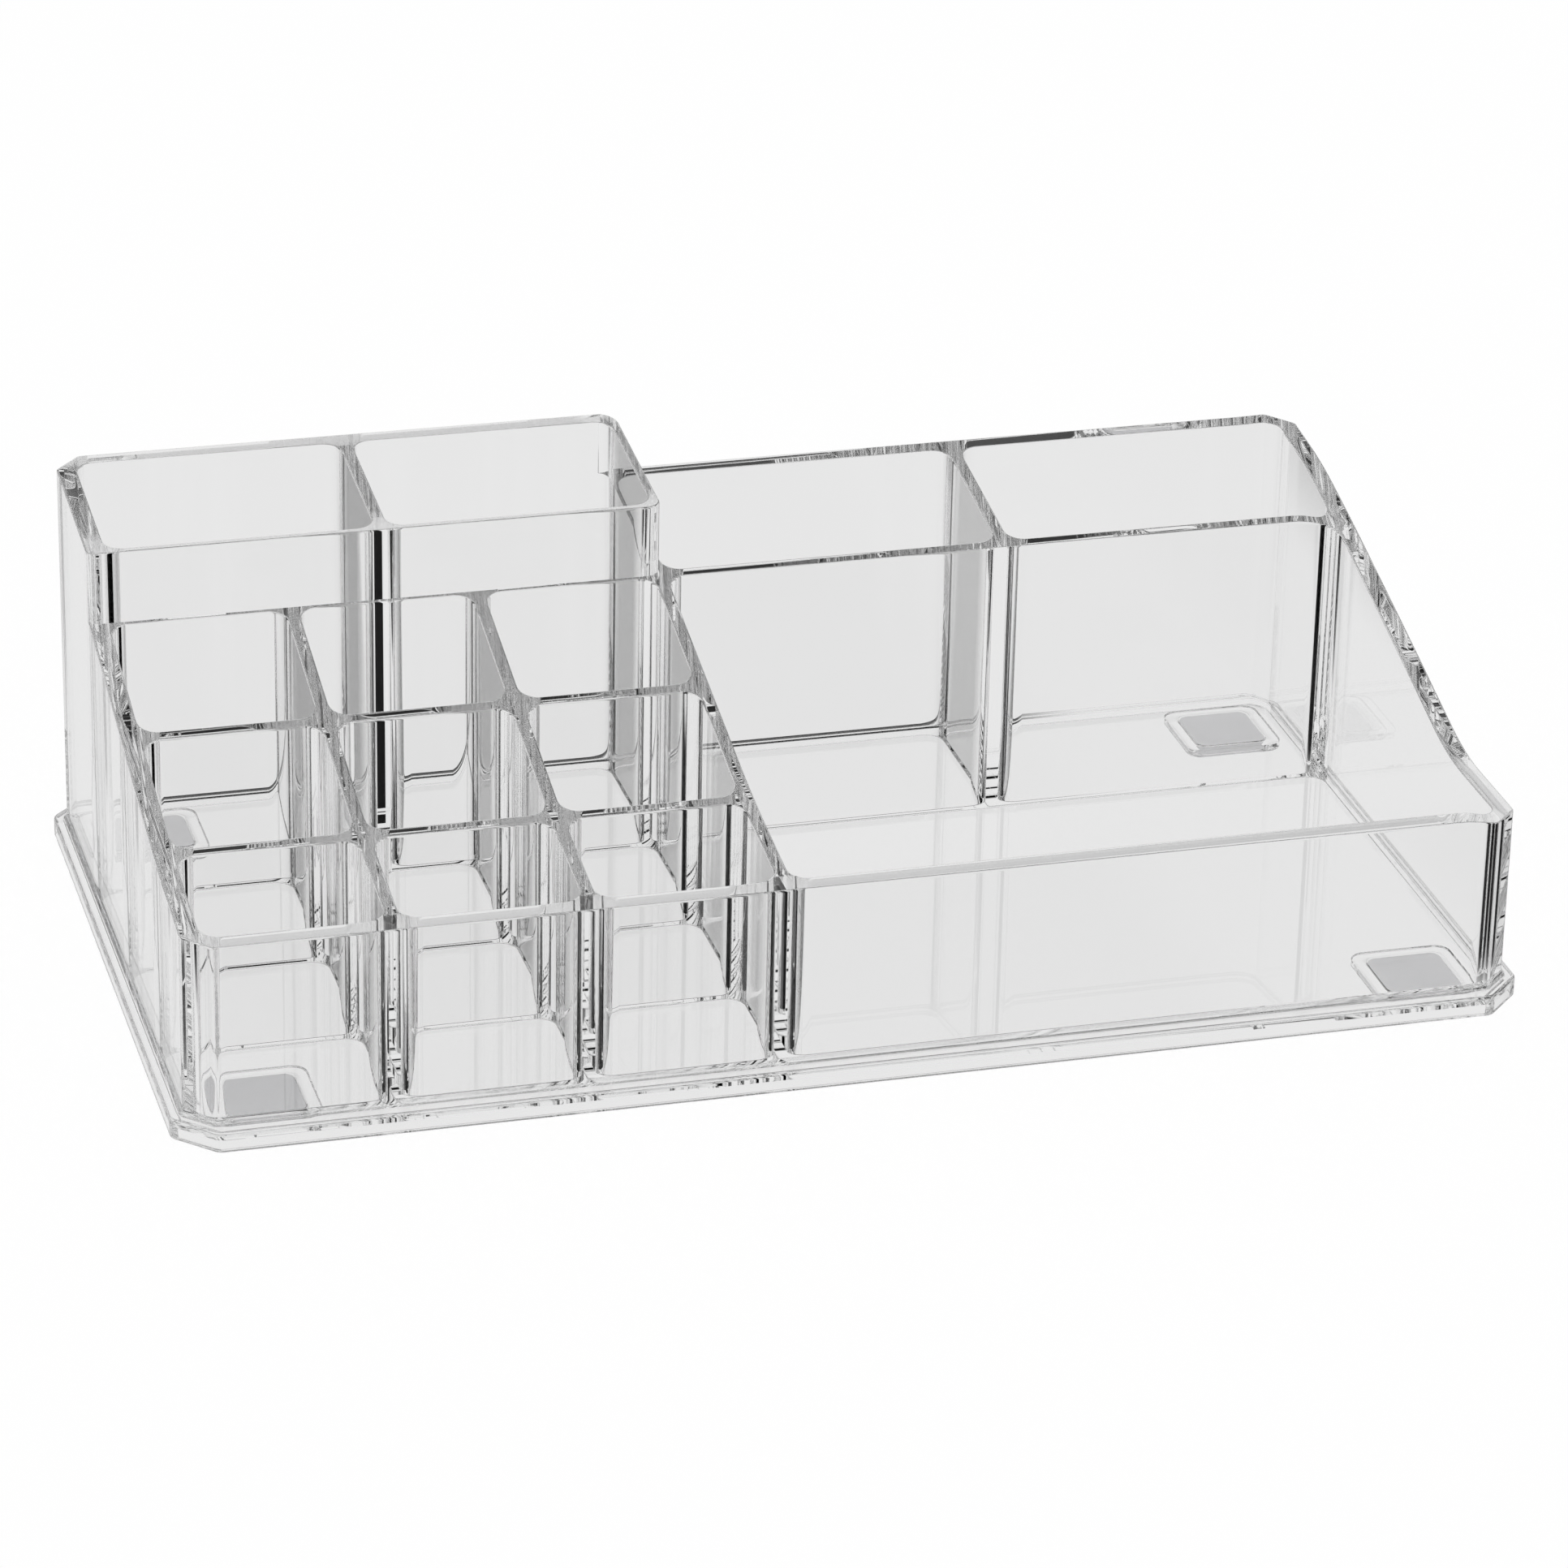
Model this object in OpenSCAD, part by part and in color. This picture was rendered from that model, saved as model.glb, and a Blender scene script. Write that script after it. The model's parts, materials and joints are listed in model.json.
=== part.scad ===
// Clear cosmetic organizer: an open tray with fourteen compartments on four soft pads.
// The tray is one clear moulding. Each straight run of it is a solid of its own here, cut where
// it meets its neighbours face to face, so every compartment stays open between plain walls.
// X runs left to right, Y front to back and Z up. The origin is on the table, under the centre.

/* [Body] */
// Width over the outer walls
body_w = 304; // [270:1:340]
// Depth over the outer walls
body_d = 166; // [150:1:190]
// Thickness of the outer walls
wall_t = 4.5; // [4:0.5:6]
// Thickness of the inner walls and dividers
inner_t = 3; // [2:0.5:4]
// Cut on the upright corners of the outer walls
corner_cut = 6; // [3:0.5:7]

/* [Compartments] */
// Clear width of one small cell, three side by side
cell_w = 40.5; // [32:0.5:46]
// Clear depth of the front row of cells
front_row_d = 30.5; // [24:0.5:40]
// Clear depth of the middle row of cells
middle_row_d = 37; // [28:0.5:44]
// Clear depth of the back row of cells
back_row_d = 38.5; // [28:0.5:44]

/* [Heights over the compartment floor] */
// Front wall
front_h = 42.1; // [30:0.1:48]
// Rise of the rim from the front wall to the wall behind the front row
front_row_rise = 5.4; // [2:0.1:9]
// Rise from there to the wall behind the middle row
middle_row_rise = 10.1; // [5:0.1:14]
// Rise from there to the cross wall behind the back row
cross_rise = 10.5; // [5:0.1:14]
// Rise from there to the rear wall
rear_rise = 7.2; // [4:0.1:14]
// How far the right wall's level front stretch stays below the front wall
side_front_drop = 0.7; // [0:0.1:3]
// How far the right wall is below the wall behind the middle row
side_middle_drop = 3.6; // [1:0.1:5]
// How far the right wall is below the cross wall
side_cross_drop = 1.7; // [0:0.1:4]
// How far the right wall is below the rear wall, halfway along the rear compartments
side_rear_drop = 2.9; // [1:0.1:4]

/* [Collar round the two tall cells] */
// Extra height of the collar at the cross wall
collar_front_h = 16.7; // [6:0.1:26]
// Extra height of the collar at the rear wall
collar_rear_h = 14.2; // [6:0.1:26]

/* [Base] */
// How far the base reaches out past each side wall
side_lip = 3; // [1:0.5:6]
// How far the base reaches out past the front and rear walls
end_lip = 4.5; // [1:0.5:8]
// Cut on the corners of the base
base_cut = 9; // [4:0.5:12]
// Thickness of the floor
floor_t = 2.6; // [2:0.1:4]
// Height of the skirt under the edge of the floor
skirt_h = 2.2; // [1:0.1:2.6]
// Thickness of the skirt
skirt_t = 2.6; // [1.6:0.1:4]

/* [Feet] */
// Width of a square foot pad
pad_w = 17.6; // [12:0.2:22]
// Thickness of a foot pad
pad_t = 3; // [2.8:0.1:5]
// Corner radius of a foot pad
pad_r = 2.4; // [1:0.1:4]
// Clearance between a pad and its socket
pad_gap = 0.2; // [0.1:0.05:0.4]
// Wall of the socket round a pad
socket_t = 3; // [1.6:0.2:4]
// Height of the socket under the floor
socket_h = 1.8; // [1:0.1:2.4]
// From a side edge of the base to the centre of a foot
foot_from_side = 21.5; // [20:0.5:30]
// From the front or rear edge of the base to the centre of a foot
foot_from_end = 19.5; // [19:0.5:30]

/* [Hidden] */
$fn = 48;

// Levels over the table
floor_under_z = pad_t;
floor_z = floor_under_z + floor_t;

// Heights of the walls over the floor, each a rise above the wall in front of it
front_row_h = front_h + front_row_rise;
middle_row_h = front_row_h + middle_row_rise;
cross_h = middle_row_h + cross_rise;
rear_h = cross_h + rear_rise;

// The base, under and round the body
base_w = body_w + 2 * side_lip;
base_d = body_d + 2 * end_lip;

// Inner faces of the outer walls
left_x = -body_w / 2 + wall_t;
right_x = body_w / 2 - wall_t;
front_y = -body_d / 2 + wall_t;
rear_y = body_d / 2 - wall_t;

// Front faces of the two row walls and of the cross wall
row_a_y = front_y + front_row_d;
row_b_y = row_a_y + inner_t + middle_row_d;
cross_y = row_b_y + inner_t + back_row_d;

// Left faces of the two column dividers and of the partition beside the long bin
column_a_x = left_x + cell_w;
column_b_x = column_a_x + inner_t + cell_w;
partition_x = column_b_x + inner_t + cell_w;
bin_x = partition_x + inner_t;

// Left faces of the dividers that halve the two rear spaces
tall_divider_x = (left_x + partition_x - inner_t) / 2;
low_divider_x = (bin_x + right_x - inner_t) / 2;

// The rim seen from the side: where it bends and how high it is there
rim_line = [
    [-body_d / 2, floor_z + front_h],
    [row_a_y + inner_t / 2, floor_z + front_row_h],
    [row_b_y + inner_t / 2, floor_z + middle_row_h],
    [cross_y + inner_t / 2, floor_z + cross_h],
    [body_d / 2, floor_z + rear_h]
];

// The right wall's own rim, which stays level for longer and then swings up to the rear
side_line = [
    [row_a_y + inner_t / 2, floor_z + front_h - side_front_drop],
    [row_b_y + inner_t / 2, floor_z + middle_row_h - side_middle_drop],
    [cross_y + inner_t / 2, floor_z + cross_h - side_cross_drop],
    [(cross_y + inner_t + rear_y) / 2, floor_z + rear_h - side_rear_drop],
    [body_d / 2, floor_z + rear_h]
];

// The collar's rim
collar_line = [
    [cross_y + inner_t / 2, floor_z + cross_h + collar_front_h],
    [body_d / 2, floor_z + rear_h + collar_rear_h]
];
top_z = floor_z + rear_h + collar_rear_h;

clear_plastic = [0.86, 0.89, 0.91, 0.5];
soft_pad = [0.7, 0.71, 0.72];

// Corners of a rectangle whose own corners are cut at 45 degrees, anticlockwise
function cut_outline(w, d, cut) = [
    [w / 2, cut - d / 2], [w / 2, d / 2 - cut],
    [w / 2 - cut, d / 2], [cut - w / 2, d / 2],
    [-w / 2, d / 2 - cut], [-w / 2, cut - d / 2],
    [cut - w / 2, -d / 2], [w / 2 - cut, -d / 2]
];

// The stretch from x0 to x1 and y0 to y1 that stands on the floor and ends at a rim, which is
// level past the ends of its line
module run(x0, x1, y0, y1, line = rim_line) {
    bends = [for (point = line) if (point[0] > y0 && point[0] < y1) point[0]];
    top = [for (y = concat([y0], bends, [y1])) [y, lookup(y, line)]];
    translate([x0, 0, 0])
        rotate([90, 0, 90])
            linear_extrude(x1 - x0)
                polygon(concat([[y1, floor_z], [y0, floor_z]], top));
}

// What lies inside the cut corners of the body
module in_body() {
    intersection() {
        children();
        linear_extrude(top_z) polygon(cut_outline(body_w, body_d, corner_cut));
    }
}

module rounded_square(w, r) {
    square([w, w - 2 * r], center = true);
    square([w - 2 * r, w], center = true);
    for (sx = [-1, 1], sy = [-1, 1])
        translate([sx * (w / 2 - r), sy * (w / 2 - r)]) circle(r);
}

// Puts its children under one corner: sx is -1 on the left, sy is -1 at the front
module at_foot(sx, sy) {
    translate([sx * (base_w / 2 - foot_from_side), sy * (base_d / 2 - foot_from_end), 0]) children();
}

// Every second bar of the skirt under the floor's edges, mitred where two edges meet:
// from 0 the long bars of the four sides, from 1 the short ones across the cut corners
module skirt_bars(first) {
    inset = skirt_t * (2 - sqrt(2));
    outer = cut_outline(base_w, base_d, base_cut);
    inner = cut_outline(base_w - 2 * skirt_t, base_d - 2 * skirt_t, base_cut - inset);
    for (i = [first : 2 : len(outer) - 1]) {
        j = (i + 1) % len(outer);
        translate([0, 0, floor_under_z - skirt_h])
            linear_extrude(skirt_h) polygon([outer[i], outer[j], inner[j], inner[i]]);
    }
}

module foot_socket() {
    hole_w = pad_w + 2 * pad_gap;
    hole_r = pad_r + pad_gap;
    translate([0, 0, floor_under_z - socket_h])
        linear_extrude(socket_h)
            difference() {
                rounded_square(hole_w + 2 * socket_t, hole_r + socket_t);
                rounded_square(hole_w, hole_r);
            }
}

module foot_pad() {
    linear_extrude(pad_t) rounded_square(pad_w, pad_r);
}

module floor_plate() {
    color(clear_plastic)
        translate([0, 0, floor_under_z])
            linear_extrude(floor_t) polygon(cut_outline(base_w, base_d, base_cut));
}

module skirt_sides() {
    color(clear_plastic) skirt_bars(0);
}

module skirt_corners() {
    color(clear_plastic) skirt_bars(1);
}

module foot_sockets() {
    color(clear_plastic) for (sx = [-1, 1], sy = [-1, 1]) at_foot(sx, sy) foot_socket();
}

module front_wall() {
    color(clear_plastic) in_body() run(left_x, right_x, -body_d / 2, front_y);
}

module right_wall() {
    color(clear_plastic) in_body() run(right_x, body_w / 2, -body_d / 2, body_d / 2, side_line);
}

module left_wall_front() {
    color(clear_plastic) in_body() run(-body_w / 2, left_x, -body_d / 2, cross_y);
}

module left_wall_collar() {
    color(clear_plastic) in_body() run(-body_w / 2, left_x, cross_y, body_d / 2, collar_line);
}

module rear_wall_low() {
    color(clear_plastic) in_body() run(bin_x, right_x, rear_y, body_d / 2);
}

module rear_wall_collar() {
    color(clear_plastic) in_body() run(left_x, bin_x, rear_y, body_d / 2, collar_line);
}

module cross_wall_low() {
    color(clear_plastic) run(bin_x, right_x, cross_y, cross_y + inner_t);
}

module cross_wall_collar() {
    color(clear_plastic) run(left_x, partition_x, cross_y, cross_y + inner_t, collar_line);
}

module partition_front() {
    color(clear_plastic) run(partition_x, bin_x, front_y, cross_y);
}

module partition_collar() {
    color(clear_plastic) run(partition_x, bin_x, cross_y, rear_y, collar_line);
}

module row_wall_front() {
    color(clear_plastic) run(left_x, partition_x, row_a_y, row_a_y + inner_t);
}

module row_wall_back() {
    color(clear_plastic) run(left_x, partition_x, row_b_y, row_b_y + inner_t);
}

// One divider between two small cells; x is its left face
module column_divider_front(x) {
    color(clear_plastic) run(x, x + inner_t, front_y, row_a_y);
}

module column_divider_middle(x) {
    color(clear_plastic) run(x, x + inner_t, row_a_y + inner_t, row_b_y);
}

module column_divider_back(x) {
    color(clear_plastic) run(x, x + inner_t, row_b_y + inner_t, cross_y);
}

module tall_cell_divider() {
    color(clear_plastic) run(tall_divider_x, tall_divider_x + inner_t, cross_y + inner_t, rear_y, collar_line);
}

module low_cell_divider() {
    color(clear_plastic) run(low_divider_x, low_divider_x + inner_t, cross_y + inner_t, rear_y);
}

module corner_pad(sx, sy) {
    color(soft_pad) at_foot(sx, sy) foot_pad();
}

floor_plate();
skirt_sides();
skirt_corners();
foot_sockets();
front_wall();
right_wall();
left_wall_front();
left_wall_collar();
rear_wall_low();
rear_wall_collar();
cross_wall_low();
cross_wall_collar();
partition_front();
partition_collar();
row_wall_front();
row_wall_back();
column_divider_front(column_a_x);  // column_divider_left_front
column_divider_middle(column_a_x);  // column_divider_left_middle
column_divider_back(column_a_x);  // column_divider_left_back
column_divider_front(column_b_x);  // column_divider_right_front
column_divider_middle(column_b_x);  // column_divider_right_middle
column_divider_back(column_b_x);  // column_divider_right_back
tall_cell_divider();
low_cell_divider();
corner_pad(-1, -1);  // foot_pad_front_left
corner_pad(1, -1);  // foot_pad_front_right
corner_pad(-1, 1);  // foot_pad_rear_left
corner_pad(1, 1);  // foot_pad_rear_right
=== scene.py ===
import json
from itertools import product

import bmesh
import bpy
import numpy as np
from bpy.props import FloatProperty, FloatVectorProperty, PointerProperty
from mathutils import Matrix, Vector
from mathutils.geometry import delaunay_2d_cdt


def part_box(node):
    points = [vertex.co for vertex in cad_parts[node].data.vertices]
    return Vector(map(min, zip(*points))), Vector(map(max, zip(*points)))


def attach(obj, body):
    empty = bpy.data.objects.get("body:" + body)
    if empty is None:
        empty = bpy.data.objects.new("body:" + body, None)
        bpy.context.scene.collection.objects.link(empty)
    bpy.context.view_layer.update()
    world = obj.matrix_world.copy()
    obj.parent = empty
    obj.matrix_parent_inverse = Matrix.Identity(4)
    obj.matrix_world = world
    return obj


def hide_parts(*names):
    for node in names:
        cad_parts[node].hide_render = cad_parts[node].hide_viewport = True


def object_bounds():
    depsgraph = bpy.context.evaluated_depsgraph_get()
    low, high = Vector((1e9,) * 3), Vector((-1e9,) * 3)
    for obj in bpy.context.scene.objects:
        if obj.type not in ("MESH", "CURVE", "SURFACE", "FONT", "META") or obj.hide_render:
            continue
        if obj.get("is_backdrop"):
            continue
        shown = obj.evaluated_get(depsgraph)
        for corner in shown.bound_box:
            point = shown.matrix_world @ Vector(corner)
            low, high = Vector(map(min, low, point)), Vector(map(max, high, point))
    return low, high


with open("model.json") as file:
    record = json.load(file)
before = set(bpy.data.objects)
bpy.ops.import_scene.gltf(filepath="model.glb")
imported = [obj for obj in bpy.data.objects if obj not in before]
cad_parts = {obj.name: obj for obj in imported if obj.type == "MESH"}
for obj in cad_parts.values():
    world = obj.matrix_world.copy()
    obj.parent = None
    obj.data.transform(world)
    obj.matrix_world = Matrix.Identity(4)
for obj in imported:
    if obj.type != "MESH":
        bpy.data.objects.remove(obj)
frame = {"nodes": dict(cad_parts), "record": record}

bl_info = {
    "name": "Clear cosmetic organizer",
    "version": (1, 0, 0),
    "blender": (4, 5, 0),
    "location": "View3D > Sidebar > Organizer",
    "description": "Builds a clear moulded tray with fourteen compartments and its soft foot pads",
    "category": "Add Mesh",
}

MM = 0.001
CAD_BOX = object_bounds()

# Steps of the rounds, in a corner seen from above or in a quarter circle of a profile
CELL_CORNER_STEPS = 12
OUTER_CORNER_STEPS = 4
COLLAR_CORNER_STEPS = 5, 8, 9
FOOT_CORNER_STEPS = 6
LIP_STEPS = 4
FLOOR_FILLET_STEPS = 8
BASE_EDGE_STEPS = 3
WALL_FOOT_STEPS = 5
PAD_EDGE_STEPS = 4

# Stretches of a side of a socket or a pad, and points whose heights are averaged where a rim bends
FOOT_SIDE_STEPS = 6
RIM_BEND_POINTS = 13

# Corner radii of the sockets and the pads, as shares of half their width
SOCKET_CORNER_SHARE = 0.3
PAD_CORNER_SHARE = 0.27

# How far a pad's top stays under the floor plate, so that the two faces don't fall together, and
# how many edge radii inside its outline its flat faces start
PAD_TOP_GAP = 0.03 * MM
PAD_FLAT_START = 4

# The angle at which the collar's rounded edges leave the outer walls, and how many points of such
# an arc are left out there: the wall has the first one itself, and the next would crowd it
LEAVING_TURN = np.radians(28)
LEFT_OUT = 2

# Faces that meet at more than this angle keep a sharp crease
CREASE = np.radians(40)

# How close to a face a point counts as lying on it, and the decimals that tell places apart
ON_FACE = MM / 10
FACE_DECIMALS = 6
RIM_DECIMALS = 5

# The table's half width in metres
TABLE_REACH = 6.0

# The camera's sensor in millimetres, the nearest and farthest places it sees, and the light's bounces
SENSOR_WIDTH = 36.0
VIEW_ENDS = 0.05, 30.0
BOUNCES = 64

# The depths of a ray are whole numbers, and a half keeps two of them apart
DEPTH_HALF = 0.5


# Where the tray's faces are, read from the frame

def corners(node):
    """Lowest and highest corner of a CAD node, each as x, y, z in metres."""
    low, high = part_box(node)
    return np.array(low), np.array(high)


def points_of(node):
    """All the points of a CAD node's mesh."""
    return np.array([v.co for v in frame["nodes"][node].data.vertices], float)


def nodes_of_slot(slot):
    """Names of the CAD nodes with one material slot, in the record's order."""
    return [part["node"] for part in frame["record"]["subparts"] if part["material_slot"] == slot]


def side_reach(node, half_x):
    """How far back a node's right side face goes, up to the cut of its corner."""
    points = points_of(node)
    return points[np.abs(points[:, 0] - half_x) < ON_FACE, 1].max()


def skirt_wall():
    """Thickness of the skirt, whose inner face is the second farthest place of its points."""
    places = np.unique(np.abs(points_of("skirt_sides")[:, 1]).round(FACE_DECIMALS))
    return BASE_Y - places[-2]


FLOOR_UNDER, FLOOR_TOP = (corner[2] for corner in corners("floor_plate"))
SKIRT_FOOT = corners("skirt_sides")[0][2]
BODY_X = corners("right_wall")[1][0]
BODY_Y = corners("rear_wall_low")[1][1]
BASE_X, BASE_Y = corners("floor_plate")[1][:2]
SKIRT_WALL = skirt_wall()
BODY_CUT = BODY_Y - side_reach("right_wall", BODY_X)
BASE_CUT = BASE_Y - side_reach("floor_plate", BASE_X)
LEFT, RIGHT = corners("left_wall_front")[1][0], corners("right_wall")[0][0]
FRONT, REAR = corners("front_wall")[1][1], corners("rear_wall_low")[0][1]
CROSS = corners("cross_wall_low")[0][1], corners("cross_wall_low")[1][1]
PARTITION = corners("partition_front")[0][0], corners("partition_front")[1][0]


def rim_line(*nodes):
    """Places y and heights z of a bent rim of the CAD, with a straight stretch added past each end."""
    rim = np.concatenate([points_of(node) for node in nodes])
    rim = rim[rim[:, 2] > FLOOR_TOP + MM, 1:]
    rim = rim[np.unique(rim[:, 0].round(RIM_DECIMALS), return_index=True)[1]]
    ends = [(2 * rim[0] - rim[1])[None], rim, (2 * rim[-1] - rim[-2])[None]]
    return np.concatenate(ends).T


LOW_RIM = rim_line("front_wall", "partition_front", "cross_wall_low", "low_cell_divider", "rear_wall_low")
SIDE_RIM = rim_line("right_wall")
COLLAR_RIM = rim_line("cross_wall_collar", "tall_cell_divider", "rear_wall_collar")


def spans(low, high, walls, axis):
    """The clear spans between two faces that a row of walls divides, along x (0) or y (1)."""
    faces = [low] + [corners(wall)[end][axis] for wall in walls for end in (0, 1)] + [high]
    return list(zip(faces[::2], faces[1::2]))


def low_compartments():
    """Clear x and y spans of the twelve compartments that end at the low rim."""
    columns = spans(LEFT, PARTITION[0], ["column_divider_left_front", "column_divider_right_front"], 0)
    rows = spans(FRONT, CROSS[0], ["row_wall_front", "row_wall_back"], 1)
    rear = spans(PARTITION[1], RIGHT, ["low_cell_divider"], 0)
    cells = list(product(columns, rows)) + list(product(rear, [(CROSS[1], REAR)]))
    return cells + [((PARTITION[1], RIGHT), (FRONT, CROSS[0]))]


def tall_compartments():
    """Clear x and y spans of the two cells inside the collar."""
    return list(product(spans(LEFT, PARTITION[0], ["tall_cell_divider"], 0), [(CROSS[1], REAR)]))


# Sizes and looks that a user would change

def length(name, description, default, top=0.01):
    """A length in metres, from 0 to a top value."""
    return FloatProperty(name=name, description=description, default=default, min=0.0, max=top, unit="LENGTH")


def angle(name, description, degrees):
    """An angle, given in degrees."""
    return FloatProperty(name=name, description=description, default=np.radians(degrees), subtype="ANGLE")


def zero_to_one(name, description, default):
    """A number from 0 to 1."""
    return FloatProperty(name=name, description=description, default=default, min=0.0, max=1.0)


def at_least_zero(name, description, default):
    """A number of at least 0."""
    return FloatProperty(name=name, description=description, default=default, min=0.0)


def pair(name, description, default, unit="NONE"):
    """Two numbers, such as the ends of a band."""
    return FloatVectorProperty(name=name, description=description, default=default, size=2, unit=unit)


def hue(name, description, default):
    """A colour, with a fourth number for how much of it shows."""
    return FloatVectorProperty(
        name=name, description=description, default=default, size=4, min=0.0, max=1.0, subtype="COLOR")


class OrganizerTraySizes(bpy.types.PropertyGroup):
    """Sizes of the tray's rounds, and how finely it is cut"""
    lip_round: length("Rim rounding", "Radius along every edge of the rim", 0.35 * MM)
    corner_round: length("Cell corner radius", "Radius of the upright corners inside a compartment", 4.5 * MM)
    floor_round: length("Floor fillet", "Radius where a compartment's walls meet its floor", 0.2 * MM)
    body_round: length("Body edge radius", "Radius of the upright edges of the outer walls", 1.6 * MM)
    base_round: length("Base edge radius", "Radius of the upright edges of the base", 3.2 * MM)
    base_edge: length("Base edge rounding", "Radius along the top edge of the base", 0.7 * MM)
    skirt_edge: length("Skirt edge rounding", "Radius along the lower edges of skirt and sockets", 0.3 * MM)
    foot_fillet: length("Wall foot fillet", "Radius where the outer walls meet the base", 1.2 * MM)
    ledge: length("Collar ledge", "How far the collar is set back from the walls below it", 1.0 * MM)
    collar_rear: length("Collar rear corner", "Radius of the collar's upright edge at the rear wall", 6 * MM)
    collar_middle: length("Collar middle corner", "Radius of the collar's free upright edge", 3.5 * MM)
    collar_left: length("Collar left corner", "Radius of the collar's upright edge at the left wall", 2 * MM)
    side_blend: length(
        "Right rim blend", "Stretch over which a rim runs into the right wall's", 10 * MM, top=0.03)
    rim_bend: length("Rim bend", "Half the stretch over which the rim's slope changes", 9 * MM, top=0.03)
    guard: length(
        "Flat guard", "Width of the narrow band that keeps a flat face flat beside a round", 0.12 * MM)
    step: length("Point step", "Distance between points along straight edges", 3 * MM, top=0.05)
    pad_gap: length("Pad clearance", "Clearance between a pad and its socket", 0.2 * MM)


class OrganizerPlasticLook(bpy.types.PropertyGroup):
    """Looks of the clear plastic"""
    tint: hue("Tint", "Colour that the plastic lets through", (0.98, 0.98, 0.98, 1.0))
    ior: FloatProperty(
        name="Refractive index", description="Of clear polystyrene", default=1.59, min=1.0, max=2.0)
    sheen: zero_to_one(
        "Sheen", "Share of the mirror reflection that is left where the plastic is seen face on", 0.1)
    polish: zero_to_one("Roughness", "Roughness of the polished faces", 0.003)
    haze: at_least_zero("Haze", "Roughness of the haziest patches, in times that of the polished faces", 3.0)
    haze_scale: at_least_zero("Haze scale", "Patches of haze in a metre, roughly", 160.0)
    haze_band: pair("Haze band", "Values of the pattern at which the haze starts and is full", (0.55, 0.8))
    flow: zero_to_one("Flow marks", "Strength of the slow waves that moulding leaves", 0.01)
    flow_scale: at_least_zero("Flow scale", "Waves in a metre, roughly", 28.0)
    flow_height: length("Flow height", "Height of the waves at full strength", 0.4 * MM)


class OrganizerPadLook(bpy.types.PropertyGroup):
    """Looks of the soft pads, and their edge"""
    colour: hue("Colour", "Colour of the soft pads", (0.56, 0.56, 0.57, 1.0))
    edge: length("Pad edge rounding", "Radius along a pad's edges", 0.5 * MM)
    roughness: zero_to_one("Roughness", "Roughness of the satin rubber", 0.55)
    patch_shades: pair("Patch shades", "Darkest and lightest patches, as shares of the colour", (0.94, 1.05))
    patch_scale: at_least_zero("Patch scale", "Patches of shade in a metre, roughly", 90.0)
    grain: zero_to_one("Grain", "Strength of the fine grain", 0.25)
    grain_scale: at_least_zero("Grain scale", "Grains in a metre, roughly", 2500.0)
    grain_height: length("Grain height", "Height of the grain at full strength", 0.1 * MM)


class OrganizerStageLook(bpy.types.PropertyGroup):
    """The camera, the table, the room, and the painted grey and dark reflections in the plastic"""
    azimuth: angle("Camera azimuth", "Seen from the left of the front when negative", -15.671)
    elevation: angle("Camera elevation", "Above the table", 25.072)
    roll: angle("Camera roll", "Clockwise tilt", 1.285)
    distance: FloatProperty(name="Camera distance", description="To the aim", default=1.4618, unit="LENGTH")
    aim: FloatVectorProperty(
        name="Camera aim", description="Point at the middle of the picture", size=3,
        default=(0.00195, -0.00336, 0.03502), subtype="TRANSLATION", unit="LENGTH")
    lens: FloatProperty(
        name="Lens", description="Focal length on a 36 mm sensor", default=145.8, unit="CAMERA")
    floor_colour: hue("Floor colour", "Colour of the table", (0.95, 0.95, 0.95, 1.0))
    seen_share: zero_to_one("White share", "How much of the table the camera sees as plain white", 0.9)
    # Painted levels: the table glows at these levels only for rays through the clear plastic, a painted grey
    # for its panes and painted dark reflections. The camera and diffuse light see the table plain.
    painted_near_level: at_least_zero(
        "Near level", "Table as clear plastic shows it, but for what it mirrors from farther off", 0.82)
    painted_far_level: at_least_zero("Far level", "Table away from the object, as clear plastic mirrors it", 0.05)
    near_reach: pair(
        "Near reach", "How far the near level reaches past the object, to the sides and to front and back",
        (0.09, 0.26), unit="LENGTH")
    near_fade: length(
        "Near fade", "Stretch over which the near level turns into the far level", 3 * MM, top=0.1)
    # Painted shade: these levels draw dark lines along the plastic's rounded edges
    painted_edge_levels: pair(
        "Edge levels", "Shares of the table's level that are left after one and two reflections in the "
        "plastic, as along its rounded edges", (0.01, 0.01))
    plain_behind: FloatProperty(
        name="Plain behind", description="Place front to back behind which a second reflection takes nothing",
        default=0.03, unit="LENGTH")
    plain_fade: length(
        "Plain fade", "Stretch in front of that place over which this fades in", 20 * MM, top=0.1)
    plain_strips: pair(
        "Plain strips", "Middles of two strips of the table, left of the left wall and inside the right "
        "wall, where the edge levels are left out", (-0.18, 0.125), unit="LENGTH")
    strip_half: length("Plain strip half", "Half the width of such a strip", 35 * MM, top=0.5)
    strip_fade: length(
        "Plain strip fade", "Half the stretch over which such a strip fades out", 15 * MM, top=0.1)
    # Painted levels: the room glows at these levels only for rays through the clear plastic, a painted grey
    # straight through and painted light and dark reflections. The camera and diffuse light see it white.
    painted_back_level: at_least_zero(
        "Back level", "Room as clear plastic shows it, and mirrors what lies behind the object", 0.82)
    painted_top_level: at_least_zero("Top level", "Room above the object, as clear plastic mirrors it", 0.82)
    painted_dark_level: at_least_zero("Dark level", "Room beside the object, as clear plastic mirrors it", 0.0)
    lift_band: pair(
        "Lift band", "How far up a direction points, of 1, where the room's light starts and is full",
        (0.25, 0.4))
    back_band: pair(
        "Back band", "How far back a direction points, of 1, where the light behind starts and is full",
        (0.2, 0.45))
    top_band: pair(
        "Top band", "How far up a direction points, of 1, where the light above starts and is full",
        (0.7, 0.85))


# Paths seen from above

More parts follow.
